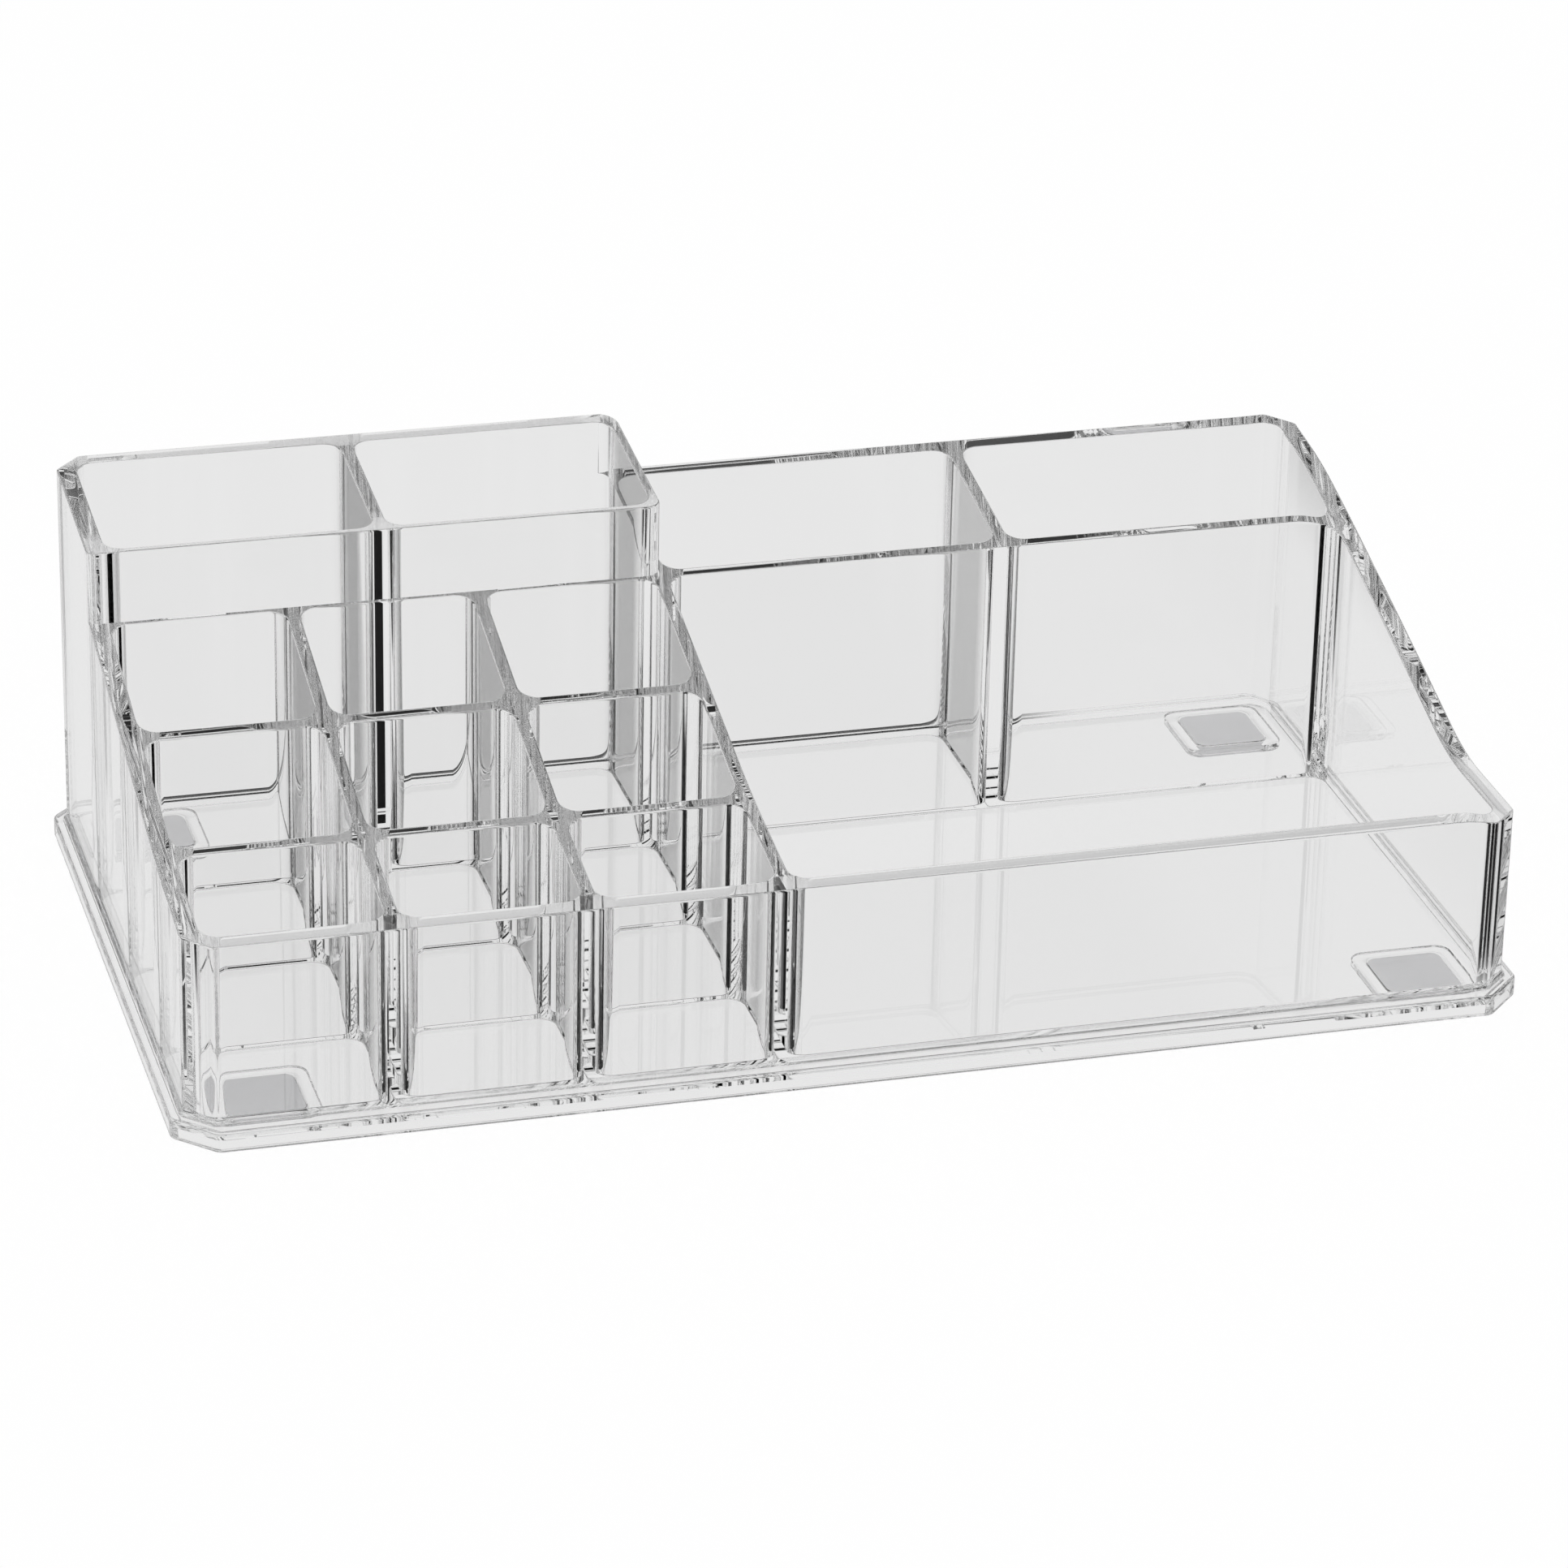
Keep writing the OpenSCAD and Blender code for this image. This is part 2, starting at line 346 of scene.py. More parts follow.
def cut_rectangle(half_x, half_y, cut):
    """Corners of a rectangle whose own corners are cut at 45 degrees, anticlockwise from the front right."""
    return np.array([
        (half_x, cut - half_y), (half_x, half_y - cut), (half_x - cut, half_y), (cut - half_x, half_y),
        (-half_x, half_y - cut), (-half_x, cut - half_y), (cut - half_x, -half_y), (half_x - cut, -half_y)])


def rectangle(x_span, y_span):
    """The four corners of an upright rectangle, anticlockwise."""
    (x0, x1), (y0, y1) = x_span, y_span
    return np.array([(x1, y0), (x1, y1), (x0, y1), (x0, y0)], float)


def even_shares(corner_points, step, guard):
    """For each edge, the shares of its length at which points lie, with one close to each end."""
    lengths = np.linalg.norm(np.roll(corner_points, -1, 0) - corner_points, axis=1)
    shares = []
    for edge in lengths:
        count = max(2, int(round(edge / step)))
        inner = np.linspace(0, 1, count + 1)[1:-1]
        shares.append(np.concatenate([[guard / edge], inner, [1 - guard / edge]]))
    return shares


def rounded_path(corner_points, radius, shares, steps):
    """Points and outward normals along a convex outline with round corners, anticlockwise.

    Each corner is an arc: its centre plus radius times (cos a, sin a), where a turns from the
    normal of the edge before the corner to the normal of the edge after it. Each straight
    stretch runs from one arc's end to the next arc's start, and its points lie at the shares.
    """
    ahead = np.roll(corner_points, -1, 0) - corner_points
    ahead /= np.linalg.norm(ahead, axis=1)[:, None]
    behind = np.roll(ahead, 1, 0)
    start = np.arctan2(-behind[:, 0], behind[:, 1])
    turn = np.arctan2(behind[:, 0] * ahead[:, 1] - behind[:, 1] * ahead[:, 0], (behind * ahead).sum(1))
    angles = start[:, None] + turn[:, None] * np.linspace(0, 1, steps + 1)
    normals = np.stack([np.cos(angles), np.sin(angles)], -1)
    back_off = (radius * np.tan(turn / 2))[:, None]
    centres = corner_points - behind * back_off + radius * np.stack([-behind[:, 1], behind[:, 0]], -1)
    arcs = centres[:, None] + radius * normals
    points, outward = [], []
    for i, share in enumerate(shares):
        first, last = arcs[i, -1], arcs[(i + 1) % len(arcs), 0]
        points += [arcs[i], first + (last - first) * share[:, None]]
        outward += [normals[i], np.repeat(normals[i, -1:], len(share), 0)]
    return np.concatenate(points), np.concatenate(outward)


def rounded_square(corner_share):
    """A rounded path round a square of half width 1, whose corner radius is a share of that."""
    side_shares = np.linspace(0, 1, FOOT_SIDE_STEPS + 1)[1:-1]
    return rounded_path(rectangle((-1, 1), (-1, 1)), corner_share, [side_shares] * 4, FOOT_CORNER_STEPS)


def soft_line(y, line, bend):
    """Height of a bent line at y, averaged over a window so that it bends softly."""
    window = np.linspace(-bend, bend, RIM_BEND_POINTS)
    return np.interp(np.asarray(y)[..., None] + window, *line).mean(-1)


def low_rim(place, sizes):
    """Height of the low rim over points x, y, which runs into the right wall's own rim beside it.

    The share s of the right wall's rim grows from 0 to 1 as 3 s squared less 2 s cubed.
    """
    share = np.clip((place[:, 0] - RIGHT) / sizes.side_blend + 1, 0, 1)
    share = share * share * (3 - 2 * share)
    low, side = (soft_line(place[:, 1], line, sizes.rim_bend) for line in (LOW_RIM, SIDE_RIM))
    return low + (side - low) * share


def collar_rim(place, sizes):
    """Height of the collar's rim over points x, y."""
    return soft_line(place[:, 1], COLLAR_RIM, sizes.rim_bend)


def quarter(steps):
    """Evenly spaced angles of a quarter turn."""
    return np.linspace(0, np.pi / 2, steps + 1)


class Shell:
    """A closed surface made of rings of points, the quads between them and flat fills."""

    def __init__(self):
        self.blocks, self.faces, self.count = [], [], 0

    def ring(self, xy, z):
        """Adds points and returns their numbers."""
        block = np.column_stack([xy, np.broadcast_to(z, len(xy))])
        self.blocks.append(block)
        self.count += len(block)
        return np.arange(self.count - len(block), self.count)

    def points(self):
        """All the points so far, as one array."""
        return np.concatenate(self.blocks)

    def strip(self, a, b, closed=True):
        """Quads between two rows of points."""
        quads = np.column_stack([a, np.roll(a, -1), np.roll(b, -1), b])
        self.faces += (quads if closed else quads[:-1]).tolist()

    def sleeve(self, rings, closed=True):
        """Quads from each row of points to the next."""
        for a, b in zip(rings, rings[1:]):
            self.strip(a, b, closed)

    def polygon(self, ids):
        """One flat face."""
        self.faces.append(list(ids))

    def fill(self, outer, holes):
        """Triangles between an outer loop and convex holes.

        They are a constrained Delaunay triangulation seen from above; a triangle whose three
        points lie on one hole's loop is inside that hole, and is dropped.
        """
        loops = [outer, *holes]
        ids = np.concatenate(loops)
        loop_of = np.repeat(np.arange(len(loops)), [len(loop) for loop in loops])
        starts = np.cumsum([0] + [len(loop) for loop in loops[:-1]])
        edges = np.concatenate([
            np.column_stack([np.arange(len(loop)), np.roll(np.arange(len(loop)), -1)]) + start
            for loop, start in zip(loops, starts)])
        flat = (self.points()[ids, :2] / MM).tolist()
        inside_outline, closeness = 1, 1e-6
        result = delaunay_2d_cdt([Vector(p) for p in flat], edges.tolist(), [], inside_outline, closeness)
        found, sources = result[2:4]
        origin = np.array([source[0] for source in sources])
        triangles = origin[np.array(found)]
        hole = loop_of[triangles]
        inside = (hole[:, 0] == hole[:, 1]) & (hole[:, 0] == hole[:, 2]) & (hole[:, 0] > 0)
        self.faces += ids[triangles[~inside]].tolist()

    def piece(self, name):
        """The finished mesh object, with outward faces, smooth rounds and sharp creases."""
        mesh = bpy.data.meshes.new(name)
        mesh.from_pydata(self.points().tolist(), [], self.faces)
        shape = bmesh.new()
        shape.from_mesh(mesh)
        bmesh.ops.recalc_face_normals(shape, faces=shape.faces)
        shape.to_mesh(mesh)
        shape.free()
        mesh.shade_smooth()
        mesh.set_sharp_from_angle(angle=CREASE)
        piece = bpy.data.objects.new(name, mesh)
        bpy.context.scene.collection.objects.link(piece)
        return piece


# The tray

def compartment(shell, sizes, x_span, y_span, rim):
    """Adds one compartment's surface and returns the numbers of its loop on the rim.

    The profile, carried round the compartment's outline, is a quarter circle from the rim's top
    down onto the wall, the straight wall, a quarter circle onto the floor, and the floor.
    """
    outline = rectangle(x_span, y_span)
    shares = even_shares(outline, sizes.step, sizes.guard)
    points, outward = rounded_path(outline, sizes.corner_round, shares, CELL_CORNER_STEPS)
    lip, fillet, guard = sizes.lip_round, sizes.floor_round, sizes.guard

    def at_rim(offset, drop):
        place = points + offset * outward
        return shell.ring(place, rim(place, sizes) - drop)

    def at_floor(offset, lift):
        return shell.ring(points + offset * outward, FLOOR_TOP + lift)

    a = quarter(LIP_STEPS)
    b = quarter(FLOOR_FILLET_STEPS)
    rings = [at_rim(lip + guard, 0)]
    rings += [at_rim(o, d) for o, d in zip(lip * (1 - np.sin(a)), lip * (1 - np.cos(a)))]
    rings += [at_rim(0, lip + guard), at_floor(0, fillet + guard)]
    rings += [at_floor(o, h) for o, h in zip(fillet * (np.cos(b) - 1), fillet * (1 - np.sin(b)))]
    rings.append(at_floor(-fillet - guard, 0))
    shell.sleeve(rings)
    shell.polygon(rings[-1])
    return rings[0]


def socket(shell, sizes, centre, outer_half, inner_half):
    """Adds one foot socket under the floor and returns the numbers of its loop on the underside.

    The profile goes down the outside, round two quarter circles under the rim of the socket,
    and up the inside to the flat seat of the pad.
    """
    low = corners("foot_sockets")[0][2]
    edge = sizes.skirt_edge
    unit, outward = rounded_square(SOCKET_CORNER_SHARE)

    def ring(half, offset, z):
        return shell.ring(centre + half * unit + offset * outward, z)

    a = quarter(BASE_EDGE_STEPS)
    rings = [ring(outer_half, 0, FLOOR_UNDER)]
    rings += [ring(outer_half, o, low + h) for o, h in zip(edge * (np.cos(a) - 1), edge * (1 - np.sin(a)))]
    rings += [ring(inner_half, o, low + h) for o, h in zip(edge * (1 - np.sin(a)), edge * (1 - np.cos(a)))]
    rings.append(ring(inner_half, 0, FLOOR_UNDER))
    shell.sleeve(rings)
    shell.polygon(rings[-1])
    return rings[0]


def marked(shares, corner_points, edge, axis, place, trim):
    """Moves the share nearest to a mark on one edge onto the mark, and returns that share's number.

    The mark is a place along an axis, x (0) or y (1). The shares divide the edge's straight
    stretch, which starts and ends a trim inside the edge's corners.
    """
    first, last = corner_points[edge][axis], corner_points[(edge + 1) % len(corner_points)][axis]
    inset = np.sign(last - first) * trim
    share = (place - first - inset) / (last - first - 2 * inset)
    nearest = int(np.argmin(np.abs(shares[edge] - share)))
    shares[edge][nearest] = share
    return nearest


def outer_skin(shell, sizes):
    """Adds the base's underside, skirt and edge, and the outer walls up to the rounding of the rim.

    The profile, carried round the outline, is the skirt's inside, its foot, the base's side and
    top, a quarter circle onto the wall, and the wall. Returns the base's innermost loop, the
    wall's top loop, the wall's outline and the two marks where the collar starts and ends, as
    numbers along a ring.
    """
    guard, lip = sizes.guard, sizes.lip_round
    body = cut_rectangle(BODY_X, BODY_Y, BODY_CUT)
    base = cut_rectangle(BASE_X, BASE_Y, BASE_CUT)
    shares = even_shares(body, sizes.step, guard)
    half_turn_of_cut = np.pi / 8
    trim = sizes.body_round * np.tan(half_turn_of_cut)
    rear_edge, left_edge = 2, 4
    leave = 1 - np.sin(LEAVING_TURN)
    collar_x = PARTITION[1] - sizes.ledge - sizes.collar_rear * leave
    collar_y = CROSS[0] + sizes.ledge + sizes.collar_left * leave
    at_rear = marked(shares, body, rear_edge, 0, collar_x, trim)
    at_left = marked(shares, body, left_edge, 1, collar_y, trim)
    in_corner = OUTER_CORNER_STEPS + 1
    before = np.cumsum([0] + [in_corner + len(share) for share in shares])
    collar_start = before[rear_edge] + in_corner + at_rear
    collar_end = before[left_edge] + in_corner + at_left
    body_points, body_out = rounded_path(body, sizes.body_round, shares, OUTER_CORNER_STEPS)
    base_points, base_out = rounded_path(base, sizes.base_round, shares, OUTER_CORNER_STEPS)

    def on_base(offset, z):
        return shell.ring(base_points + offset * base_out, z)

    def on_body(offset, z):
        return shell.ring(body_points + offset * body_out, z)

    a = quarter(BASE_EDGE_STEPS)
    b = quarter(WALL_FOOT_STEPS)
    foot, edge, fillet = sizes.skirt_edge, sizes.base_edge, sizes.foot_fillet
    inner = on_base(-SKIRT_WALL, FLOOR_UNDER)
    rings = [inner]
    rings += [on_base(o - SKIRT_WALL, SKIRT_FOOT + h) for o, h in
              zip(foot * (1 - np.cos(a)), foot * (1 - np.sin(a)))]
    rings += [on_base(o, SKIRT_FOOT + h) for o, h in zip(foot * (np.sin(a) - 1), foot * (1 - np.cos(a)))]
    rings += [on_base(0, SKIRT_FOOT + foot + guard), on_base(0, FLOOR_TOP - edge - guard)]
    rings += [on_base(o, FLOOR_TOP - edge + h) for o, h in zip(edge * (np.cos(a) - 1), edge * np.sin(a))]
    rings += [on_base(-edge - guard, FLOOR_TOP), on_body(fillet + guard, FLOOR_TOP)]
    rings += [on_body(o, FLOOR_TOP + h) for o, h in zip(fillet * (1 - np.sin(b)), fillet * (1 - np.cos(b)))]
    rings.append(on_body(0, FLOOR_TOP + fillet + guard))
    rim = low_rim(body_points, sizes)
    rings += [on_body(0, rim - lip - guard), on_body(0, rim - lip)]
    shell.sleeve(rings)
    return inner, rings[-1], (body_points, body_out), (collar_start, collar_end)


def rounded_rim(shell, sizes, below, points, outward, rim, closed):
    """Adds the rounding from a wall's outer face onto its rim: a quarter circle and a flat guard."""
    lip = sizes.lip_round
    a = quarter(LIP_STEPS)[1:]
    profile = list(zip(lip * (np.cos(a) - 1), lip * (np.sin(a) - 1))) + [(-lip - sizes.guard, 0.0)]
    rings = [below]
    for offset, lift in profile:
        place = points + offset * outward
        rings.append(shell.ring(place, rim(place, sizes) + lift))
    shell.sleeve(rings, closed)
    return rings


def mitre(first, second):
    """The offset direction at a crease: the sum of two faces' normals over 1 plus their product."""
    return (first + second) / (1 + first @ second)


def collar_faces(sizes):
    """Points and normals along the collar's two free faces, from the left wall to the rear wall.

    Each upright edge is an arc: its centre plus a radius times (sin t, -cos t). At the outer walls
    the arc leaves the wall with a small crease, at the leaving turn, and so never grazes it.
    """
    front_y, right_x = CROSS[0] + sizes.ledge, PARTITION[1] - sizes.ledge
    left, middle, rear = sizes.collar_left, sizes.collar_middle, sizes.collar_rear
    left_steps, middle_steps, rear_steps = COLLAR_CORNER_STEPS
    quarter_turn = np.pi / 2
    turns = [
        np.linspace(LEAVING_TURN - quarter_turn, 0, left_steps + 1)[LEFT_OUT:],
        quarter(middle_steps),
        np.linspace(quarter_turn, np.pi - LEAVING_TURN, rear_steps + 1)[:-LEFT_OUT]]
    centres = [
        (-BODY_X + left * np.cos(LEAVING_TURN), front_y + left),
        (right_x - middle, front_y + middle),
        (right_x - rear, BODY_Y - rear * np.cos(LEAVING_TURN))]
    outward = [np.column_stack([np.sin(turn), -np.cos(turn)]) for turn in turns]
    arcs = [centre + radius * out for centre, radius, out in zip(centres, (left, middle, rear), outward)]
    points, normals = [arcs[0]], [outward[0]]
    for i in (1, 2):
        first, last = arcs[i - 1][-1], arcs[i][0]
        share = even_shares(np.array([first, last]), sizes.step, sizes.guard)[0][:, None]
        points += [first + (last - first) * share, arcs[i]]
        normals += [np.repeat(outward[i][:1], len(share), 0), outward[i]]
    return np.concatenate(points), np.concatenate(normals)


def clear_tray(sizes):
    """The whole moulding as one closed surface: outer skin, collar, rim and compartments."""
    shell = Shell()
    under, wall_top, (points, outward), (start, end) = outer_skin(shell, sizes)
    count = len(points)
    around = np.arange(end, start + count + 1) % count
    behind = np.arange(start, end + 1)
    low = rounded_rim(shell, sizes, wall_top[around], points[around], outward[around], low_rim, False)

    # The collar's path: round the rear left corner, then along its front and right faces
    inner, inner_out = collar_faces(sizes)
    path = np.concatenate([points[behind], inner])
    path_out = np.concatenate([outward[behind], inner_out])
    leaving = np.array([np.cos(LEAVING_TURN), np.sin(LEAVING_TURN)])
    path_out[0] = mitre(outward[start], leaving[::-1])
    path_out[len(behind) - 1] = mitre(outward[end], -leaving)
    rim = collar_rim(path, sizes)
    guard_ring = shell.ring(path, rim - sizes.lip_round - sizes.guard)
    top_ring = shell.ring(path, rim - sizes.lip_round)
    shell.strip(guard_ring, top_ring)
    collar = rounded_rim(shell, sizes, top_ring, path, path_out, collar_rim, True)

    # The outer walls go on up to the collar, and its inner faces stand on the low rim
    last = len(behind) - 1
    shell.strip(wall_top[behind], guard_ring[:last + 1], closed=False)
    foot = shell.ring(inner, low_rim(inner, sizes))
    at_end = [ring[0] for ring in low]
    at_start = [ring[-1] for ring in low]
    lower = np.concatenate([[at_end[-1]], foot, [at_start[-1]]])
    upper = np.concatenate([guard_ring[last:], guard_ring[:1]])
    shell.strip(lower, upper, closed=False)
    shell.polygon([guard_ring[last], *at_end])
    shell.polygon([guard_ring[0], *at_start])

    # The rims, with a hole for each compartment
    holes = [compartment(shell, sizes, x, y, low_rim) for x, y in low_compartments()]
    tall = [compartment(shell, sizes, x, y, collar_rim) for x, y in tall_compartments()]
    shell.fill(np.concatenate([low[-1], foot[::-1]]), holes)
    shell.fill(collar[-1], tall)

    # The underside, with a socket at each corner
    sockets = []
    for pad in nodes_of_slot("foot_pad"):
        low_corner, high_corner = corners(pad)
        centre = (low_corner + high_corner)[:2] / 2
        pad_half = (high_corner - low_corner)[0] / 2
        outer_half = corners("foot_sockets")[1][0] - abs(centre[0])
        sockets.append(socket(shell, sizes, centre, outer_half, pad_half + sizes.pad_gap))
    shell.fill(under, sockets)
    return shell.piece("clear_tray")


# The pads

def soft_pad(node, look):
    """One pad: a rounded square whose lower and upper edges are quarter circles.

    A ring well inside each edge starts the flat face, and the top stays a hair under the floor.
    """
    low, high = corners(node)
    centre, half, edge = (low + high)[:2] / 2, (high - low)[0] / 2, look.edge
    top = high[2] - PAD_TOP_GAP
    flat_start = -PAD_FLAT_START * edge
    unit, outward = rounded_square(PAD_CORNER_SHARE)
    shell = Shell()

    def ring(offset, z):
        return shell.ring(centre + half * unit + offset * outward, z)

    a = quarter(PAD_EDGE_STEPS)
    rings = [ring(flat_start, low[2])]
    rings += [ring(o, low[2] + h) for o, h in zip(edge * (np.sin(a) - 1), edge * (1 - np.cos(a)))]
    rings += [ring(o, top - edge + h) for o, h in zip(edge * (np.cos(a) - 1), edge * np.sin(a))]
    rings.append(ring(flat_start, top))
    shell.sleeve(rings)
    shell.polygon(rings[0])
    shell.polygon(rings[-1])
    return shell.piece(node + "_soft")


# Finishes

def set_sockets(node, values):
    """Sets some of a node's sockets by name, and returns the node."""
    for name, value in values.items():
        node.inputs[name].default_value = value
    return node


def new_material(name, values):
    """A new material, its node tree and its Principled shader, with some of the shader's sockets set."""
    material = bpy.data.materials.new(name)
    material.use_nodes = True
    tree = material.node_tree
    return material, tree, set_sockets(tree.nodes["Principled BSDF"], values)


def noise(tree, scale, detail, roughness=0.5):
    """A noise pattern over the piece; returns its output."""
    place = tree.nodes.new("ShaderNodeTexCoord")
    pattern = tree.nodes.new("ShaderNodeTexNoise")
    set_sockets(pattern, {"Scale": scale, "Detail": detail, "Roughness": roughness})
    tree.links.new(place.outputs["Object"], pattern.inputs["Vector"])
    return pattern.outputs["Fac"]


def raise_surface(tree, surface, pattern, strength, height):
    """Turns a shader's normal as if a pattern raised the surface."""
    bump = set_sockets(tree.nodes.new("ShaderNodeBump"), {"Strength": strength, "Distance": height})
    tree.links.new(pattern, bump.inputs["Height"])
    tree.links.new(bump.outputs["Normal"], surface.inputs["Normal"])


def ramp_of(tree, value, low, high, at_low, at_high, kind="SMOOTHSTEP"):
    """A ramp of a socket's value from one level to another; returns its output."""
    node = tree.nodes.new("ShaderNodeMapRange")
    node.interpolation_type = kind
    set_sockets(node, {"From Min": low, "From Max": high, "To Min": at_low, "To Max": at_high})
    tree.links.new(value, node.inputs["Value"])
    return node.outputs["Result"]


def clear_plastic(look):
    """Polished clear plastic: slow flow waves in the surface and faint handling haze."""
    material, tree, surface = new_material("clear_plastic", {
        "Base Color": look.tint, "Transmission Weight": 1.0, "IOR": look.ior,
        "Specular Tint": (look.sheen, look.sheen, look.sheen, 1.0)})
    waves = noise(tree, look.flow_scale, detail=1.0, roughness=0.4)
    raise_surface(tree, surface, waves, look.flow, look.flow_height)
    patches = noise(tree, look.haze_scale, detail=3.0, roughness=0.6)
    rough = ramp_of(tree, patches, *look.haze_band, look.polish, look.polish * look.haze, "LINEAR")
    tree.links.new(rough, surface.inputs["Roughness"])
    return material


def pad_rubber(look):
    """Soft satin rubber: a fine grain and slow patches of shade."""
    material, tree, surface = new_material("pad_rubber", {"Roughness": look.roughness})
    shade = tree.nodes.new("ShaderNodeMix")
    shade.data_type = "RGBA"
    for name, share in zip("AB", look.patch_shades):
        shade.inputs[name].default_value = [*np.minimum(share * np.array(look.colour[:3]), 1.0), 1.0]
    tree.links.new(noise(tree, look.patch_scale, detail=2.0), shade.inputs["Factor"])
    tree.links.new(shade.outputs["Result"], surface.inputs["Base Color"])
    raise_surface(tree, surface, noise(tree, look.grain_scale, detail=2.0), look.grain, look.grain_height)
    return material


# Painted grey and painted dark reflections that clear plastic shows of the table and the room

def math_of(tree, operation, *values):
    """A math node on sockets and numbers; returns its output."""
    node = tree.nodes.new("ShaderNodeMath")
    node.operation = operation
    for entry, value in zip(node.inputs, values):
        if isinstance(value, (int, float)):
            entry.default_value = value
        else:
            tree.links.new(value, entry)
    return node.outputs[0]


def split_places(tree, kind):
    """The x, y and z of a point ("Object") or of a direction in the room ("Generated"), by name."""
    place = tree.nodes.new("ShaderNodeTexCoord")
    split = tree.nodes.new("ShaderNodeSeparateXYZ")
    tree.links.new(place.outputs[kind], split.inputs[0])
    return split.outputs


def through_plastic(tree, path):
    """1 for a ray that was last bent or mirrored and was never scattered, else 0."""
    bent = math_of(tree, "MAXIMUM", path.outputs["Is Transmission Ray"], path.outputs["Is Glossy Ray"])
    plain = math_of(tree, "LESS_THAN", path.outputs["Diffuse Depth"], DEPTH_HALF)
    return math_of(tree, "MULTIPLY", bent, plain)


def turned_aside(tree, path):
    """1 for a ray that has been mirrored on its way, else 0."""
    return math_of(tree, "GREATER_THAN", path.outputs["Glossy Depth"], DEPTH_HALF)


def one_or(tree, factor, level):
    """A strength of 1 where a factor is 0, and a level where it is 1; returns its output."""
    mixed = tree.nodes.new("ShaderNodeMix")
    mixed.inputs["A"].default_value = 1.0
    tree.links.new(factor, mixed.inputs["Factor"])
    tree.links.new(level, mixed.inputs["B"])
    return mixed.outputs["Result"]


def painted_near_or_far(tree, path, place, look):
    """Painted table level: the near level, but the far one for mirrored rays past the near reach."""
    outside = 0.0
    for axis in (0, 1):
        away = math_of(tree, "ABSOLUTE", place[axis])
        past = math_of(tree, "SUBTRACT", away, CAD_BOX[1][axis] + look.near_reach[axis])
        outside = math_of(tree, "MAXIMUM", outside, past)
    outside = math_of(tree, "MULTIPLY", outside, turned_aside(tree, path))
    return ramp_of(tree, outside, 0.0, look.near_fade, look.painted_near_level, look.painted_far_level)


def painted_edge_share(tree, path, place, look):
    """Painted edge shade: the table's level, cut to an edge level after one or two of a ray's turns.

    The second turn takes nothing behind the plain place, and no turn does in the plain strips.
    """
    left = 1.0
    for turns, share in enumerate(look.painted_edge_levels, 1):
        here = math_of(tree, "COMPARE", path.outputs["Glossy Depth"], turns, DEPTH_HALF)
        if turns == 2:
            start = look.plain_behind - look.plain_fade
            before = ramp_of(tree, place["Y"], start, look.plain_behind, 1.0, 0.0)
            here = math_of(tree, "MULTIPLY", here, before)
        left = math_of(tree, "SUBTRACT", left, math_of(tree, "MULTIPLY", here, 1.0 - share))
    for middle in look.plain_strips:
        away = math_of(tree, "ABSOLUTE", math_of(tree, "SUBTRACT", place["X"], middle))
        inner, outer = look.strip_half - look.strip_fade, look.strip_half + look.strip_fade
        left = math_of(tree, "MAXIMUM", left, ramp_of(tree, away, inner, outer, 1.0, 0.0))
    return left


def table_top(look):
    """The table: plain paint that the camera sees nearly white, with a faint shadow kept.

    For rays through the clear plastic it glows at painted levels. Straight through, it shows as a
    painted light grey. Mirrored in the plastic it is painted dark far off, as black cards laid
    round a clear object would be. After one or two turns most of the rest is painted nearly dark
    too, so that rounded edges draw painted dark lines.
    """
    material, tree, surface = new_material("table_top", {
        "Base Color": look.floor_colour, "Roughness": 0.9, "Specular IOR Level": 0.0})
    path = tree.nodes.new("ShaderNodeLightPath")
    place = split_places(tree, "Object")
    near, left = painted_near_or_far(tree, path, place, look), painted_edge_share(tree, path, place, look)
    bent = through_plastic(tree, path)
    glow = tree.nodes.new("ShaderNodeEmission")
    # Painted levels: rays through the plastic see the table glow at the painted grey, dark and edge shade
    # levels
    tree.links.new(one_or(tree, bent, math_of(tree, "MULTIPLY", near, left)), glow.inputs["Strength"])
    seen = math_of(tree, "MULTIPLY", path.outputs["Is Camera Ray"], look.seen_share)
    blend = tree.nodes.new("ShaderNodeMixShader")
    tree.links.new(math_of(tree, "MAXIMUM", bent, seen), blend.inputs["Fac"])
    tree.links.new(surface.outputs[0], blend.inputs[1])
    tree.links.new(glow.outputs[0], blend.inputs[2])
    tree.links.new(blend.outputs[0], tree.nodes["Material Output"].inputs["Surface"])
    return material


# The stage

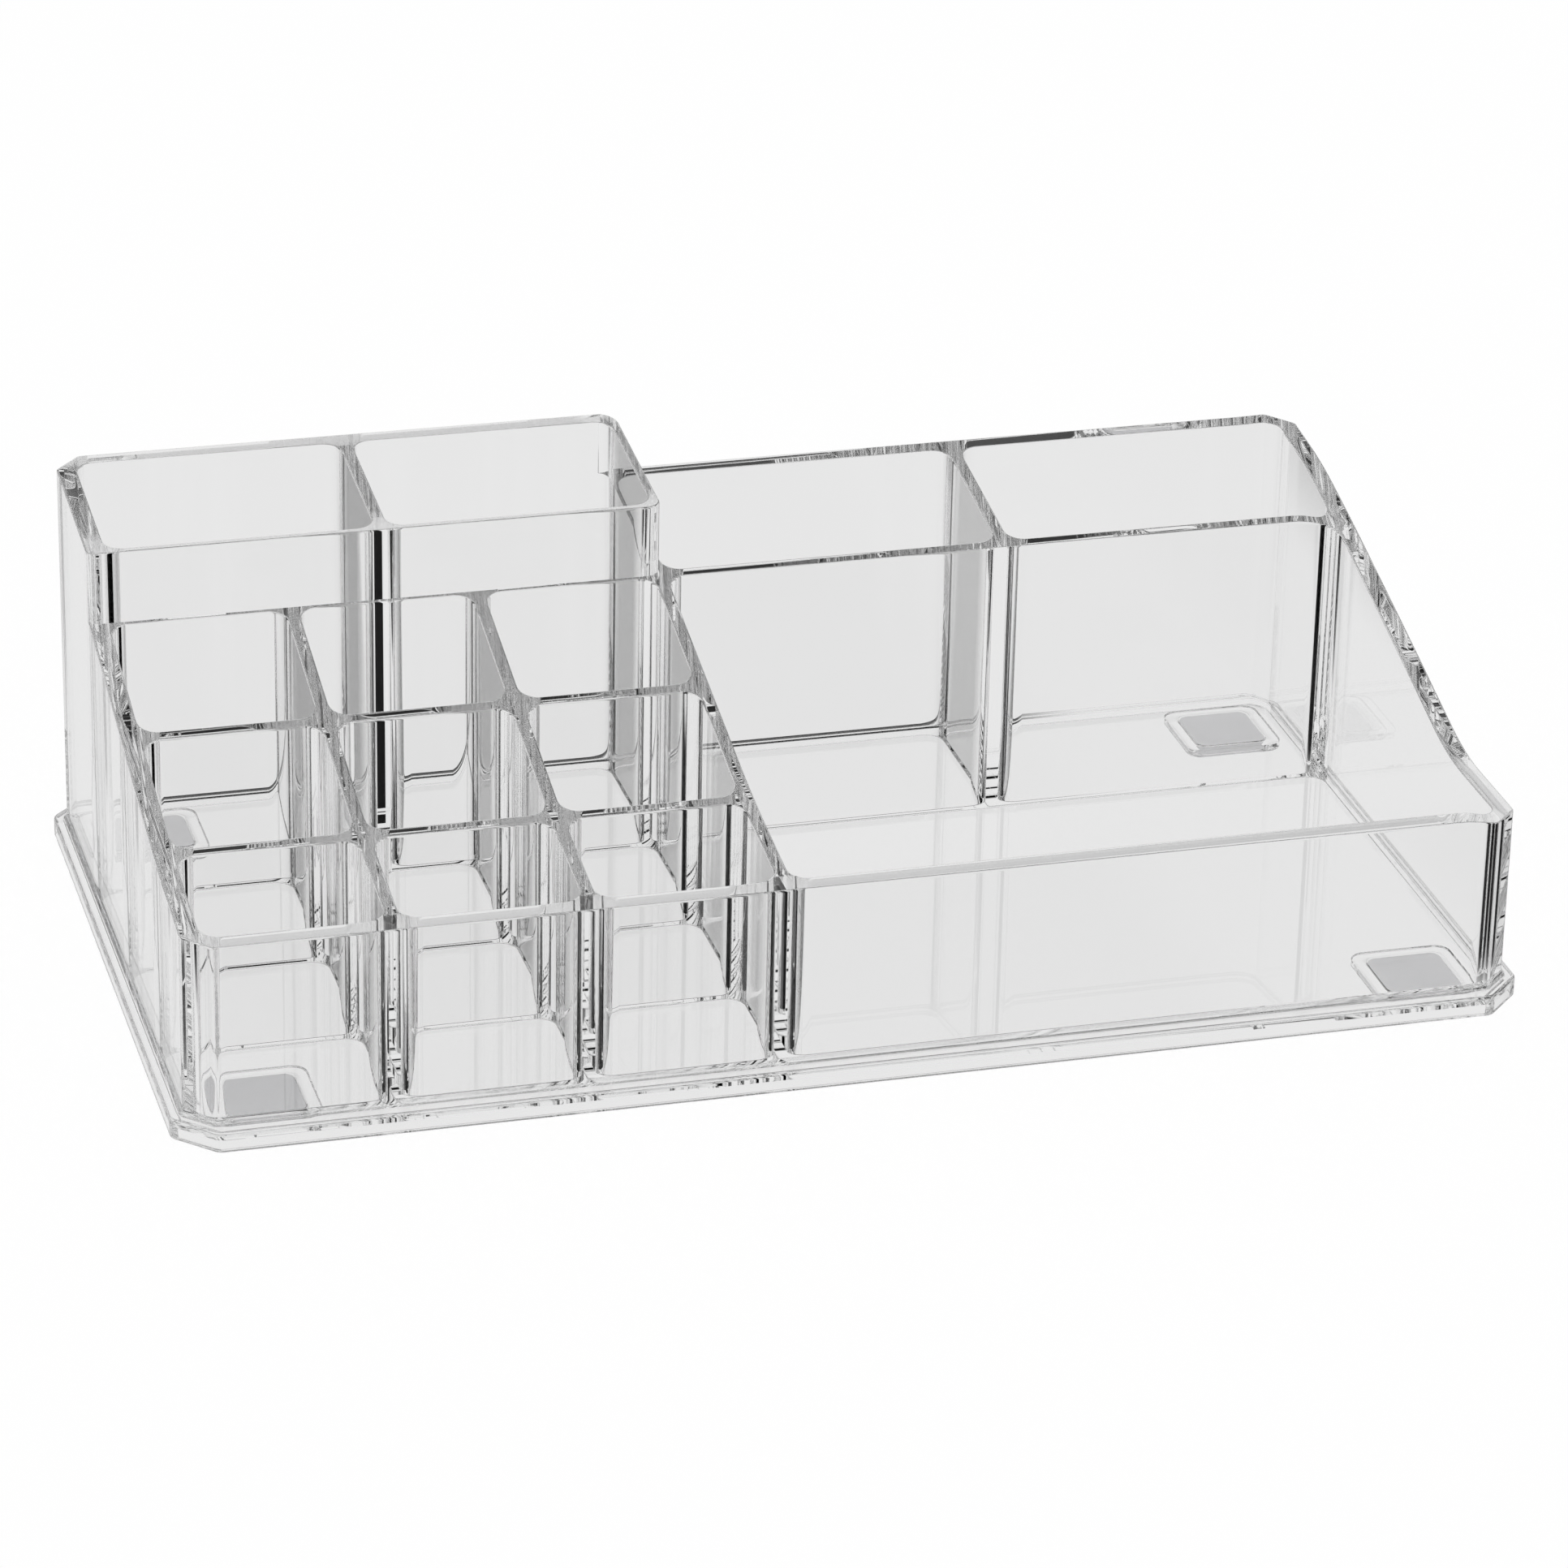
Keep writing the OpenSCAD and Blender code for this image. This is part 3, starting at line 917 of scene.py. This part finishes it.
def set_table(look):
    """A wide flat table at the pads' level."""
    mesh = bpy.data.meshes.new("table")
    reach = TABLE_REACH
    places = [(-reach, -reach, 0), (reach, -reach, 0), (reach, reach, 0), (-reach, reach, 0)]
    mesh.from_pydata(places, [], [(0, 1, 2, 3)])
    table = bpy.data.objects.new("table", mesh)
    bpy.context.scene.collection.objects.link(table)
    mesh.materials.append(table_top(look))
    table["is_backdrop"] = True


def set_light(scene, look):
    """A white room for the camera and for diffuse light.

    Rays through the clear plastic see painted levels: straight through it shows as a painted light
    grey, and mirrored in the plastic it is painted light behind and above the object, and painted
    dark low down and at the sides.
    """
    world = bpy.data.worlds.new("room")
    world.use_nodes = True
    tree = world.node_tree
    scene.world = world
    background = set_sockets(tree.nodes["Background"], {"Color": (1.0, 1.0, 1.0, 1.0)})
    path = tree.nodes.new("ShaderNodeLightPath")
    place = split_places(tree, "Generated")
    lift = ramp_of(tree, place["Z"], *look.lift_band, 0.0, 1.0)
    behind = ramp_of(tree, place["Y"], *look.back_band, look.painted_dark_level, look.painted_back_level)
    above = ramp_of(tree, place["Z"], *look.top_band, look.painted_dark_level, look.painted_top_level)
    # Painted reflections: light behind and above, dark low down and at the sides, for mirrored rays only
    mirrored = math_of(tree, "MULTIPLY", lift, math_of(tree, "MAXIMUM", behind, above))
    straight = math_of(tree, "SUBTRACT", 1.0, turned_aside(tree, path))
    # Painted grey for rays straight through the plastic
    painted_pane_grey = math_of(tree, "MULTIPLY", straight, look.painted_back_level)
    level = math_of(tree, "MAXIMUM", mirrored, painted_pane_grey)
    tree.links.new(one_or(tree, through_plastic(tree, path), level), background.inputs["Strength"])


def set_camera(scene, look):
    """The camera looks along the azimuth and elevation at the aim, turned by the roll."""
    azimuth, elevation, roll = look.azimuth, look.elevation, look.roll
    back = Vector((
        np.sin(azimuth) * np.cos(elevation), -np.cos(azimuth) * np.cos(elevation), np.sin(elevation)))
    right = (-back).cross(Vector((0, 0, 1))).normalized()
    up = right.cross(-back)
    x_axis = right * np.cos(roll) + up * np.sin(roll)
    y_axis = up * np.cos(roll) - right * np.sin(roll)
    turn = Matrix((x_axis, y_axis, back)).transposed().to_4x4()
    view = bpy.data.cameras.new("photo_view")
    view.lens = look.lens
    view.sensor_width = SENSOR_WIDTH
    view.clip_start, view.clip_end = VIEW_ENDS
    camera = bpy.data.objects.new("photo_view", view)
    scene.collection.objects.link(camera)
    camera.matrix_world = Matrix.Translation(Vector(look.aim) + back * look.distance) @ turn
    scene.camera = camera
    scene.view_settings.view_transform = "Standard"


def set_rays(scene):
    """Lets light pass through as many faces of the plastic as it meets.

    Mirrored light isn't blurred between bounces, because that takes away much of the light that
    reaches the pads through the plastic.
    """
    scene.cycles.max_bounces = BOUNCES
    scene.cycles.transmission_bounces = BOUNCES
    scene.cycles.glossy_bounces = BOUNCES
    scene.cycles.blur_glossy = 0.0


# Operators

class ORGANIZER_OT_tray(bpy.types.Operator):
    """Build the clear tray as one closed surface"""
    bl_idname = "organizer.tray"
    bl_label = "Clear tray"

    def execute(self, context):
        tray = clear_tray(context.scene.organizer_tray)
        tray.data.materials.append(clear_plastic(context.scene.organizer_plastic))
        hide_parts(*nodes_of_slot("clear_tray"))
        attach(tray, "root")
        return {"FINISHED"}


class ORGANIZER_OT_pads(bpy.types.Operator):
    """Build the soft pads under the corners"""
    bl_idname = "organizer.pads"
    bl_label = "Foot pads"

    def execute(self, context):
        rubber = pad_rubber(context.scene.organizer_pads)
        for node in nodes_of_slot("foot_pad"):
            pad = soft_pad(node, context.scene.organizer_pads)
            pad.data.materials.append(rubber)
            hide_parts(node)
            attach(pad, "root")
        return {"FINISHED"}


class ORGANIZER_OT_stage(bpy.types.Operator):
    """Set up the table, the light and the camera"""
    bl_idname = "organizer.stage"
    bl_label = "Stage"

    def execute(self, context):
        look = context.scene.organizer_stage
        set_table(look)
        set_light(context.scene, look)
        set_camera(context.scene, look)
        set_rays(context.scene)
        return {"FINISHED"}


class ORGANIZER_PT_panel(bpy.types.Panel):
    """Lists the steps and the sizes of the organizer"""
    bl_idname = "ORGANIZER_PT_panel"
    bl_label = "Organizer"
    bl_space_type = "VIEW_3D"
    bl_region_type = "UI"
    bl_category = "Organizer"

    def draw(self, context):
        scene = context.scene
        for step, group in STEPS:
            self.layout.operator(step.bl_idname)
            for name in group:
                settings = getattr(scene, name)
                for field in settings.bl_rna.properties.keys():
                    if field not in ("rna_type", "name"):
                        self.layout.prop(settings, field)


STEPS = [
    (ORGANIZER_OT_tray, ("organizer_tray", "organizer_plastic")),
    (ORGANIZER_OT_pads, ("organizer_pads",)),
    (ORGANIZER_OT_stage, ("organizer_stage",)),
]
GROUPS = {
    "organizer_tray": OrganizerTraySizes,
    "organizer_plastic": OrganizerPlasticLook,
    "organizer_pads": OrganizerPadLook,
    "organizer_stage": OrganizerStageLook,
}
CLASSES = [*GROUPS.values(), *(step for step, _ in STEPS), ORGANIZER_PT_panel]


def register():
    """Adds the settings, the steps and the panel to Blender."""
    for cls in CLASSES:
        bpy.utils.register_class(cls)
    for name, group in GROUPS.items():
        setattr(bpy.types.Scene, name, PointerProperty(type=group))


def unregister():
    """Takes them out again."""
    for name in GROUPS:
        delattr(bpy.types.Scene, name)
    for cls in reversed(CLASSES):
        bpy.utils.unregister_class(cls)


def main():
    """Builds every piece and the stage."""
    register()
    bpy.ops.organizer.tray()
    bpy.ops.organizer.pads()
    bpy.ops.organizer.stage()
    boxes = {"cad": CAD_BOX, "visual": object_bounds()}
    {name: [list(corner) for corner in box] for name, box in boxes.items()}


if __name__ == "__main__":
    main()
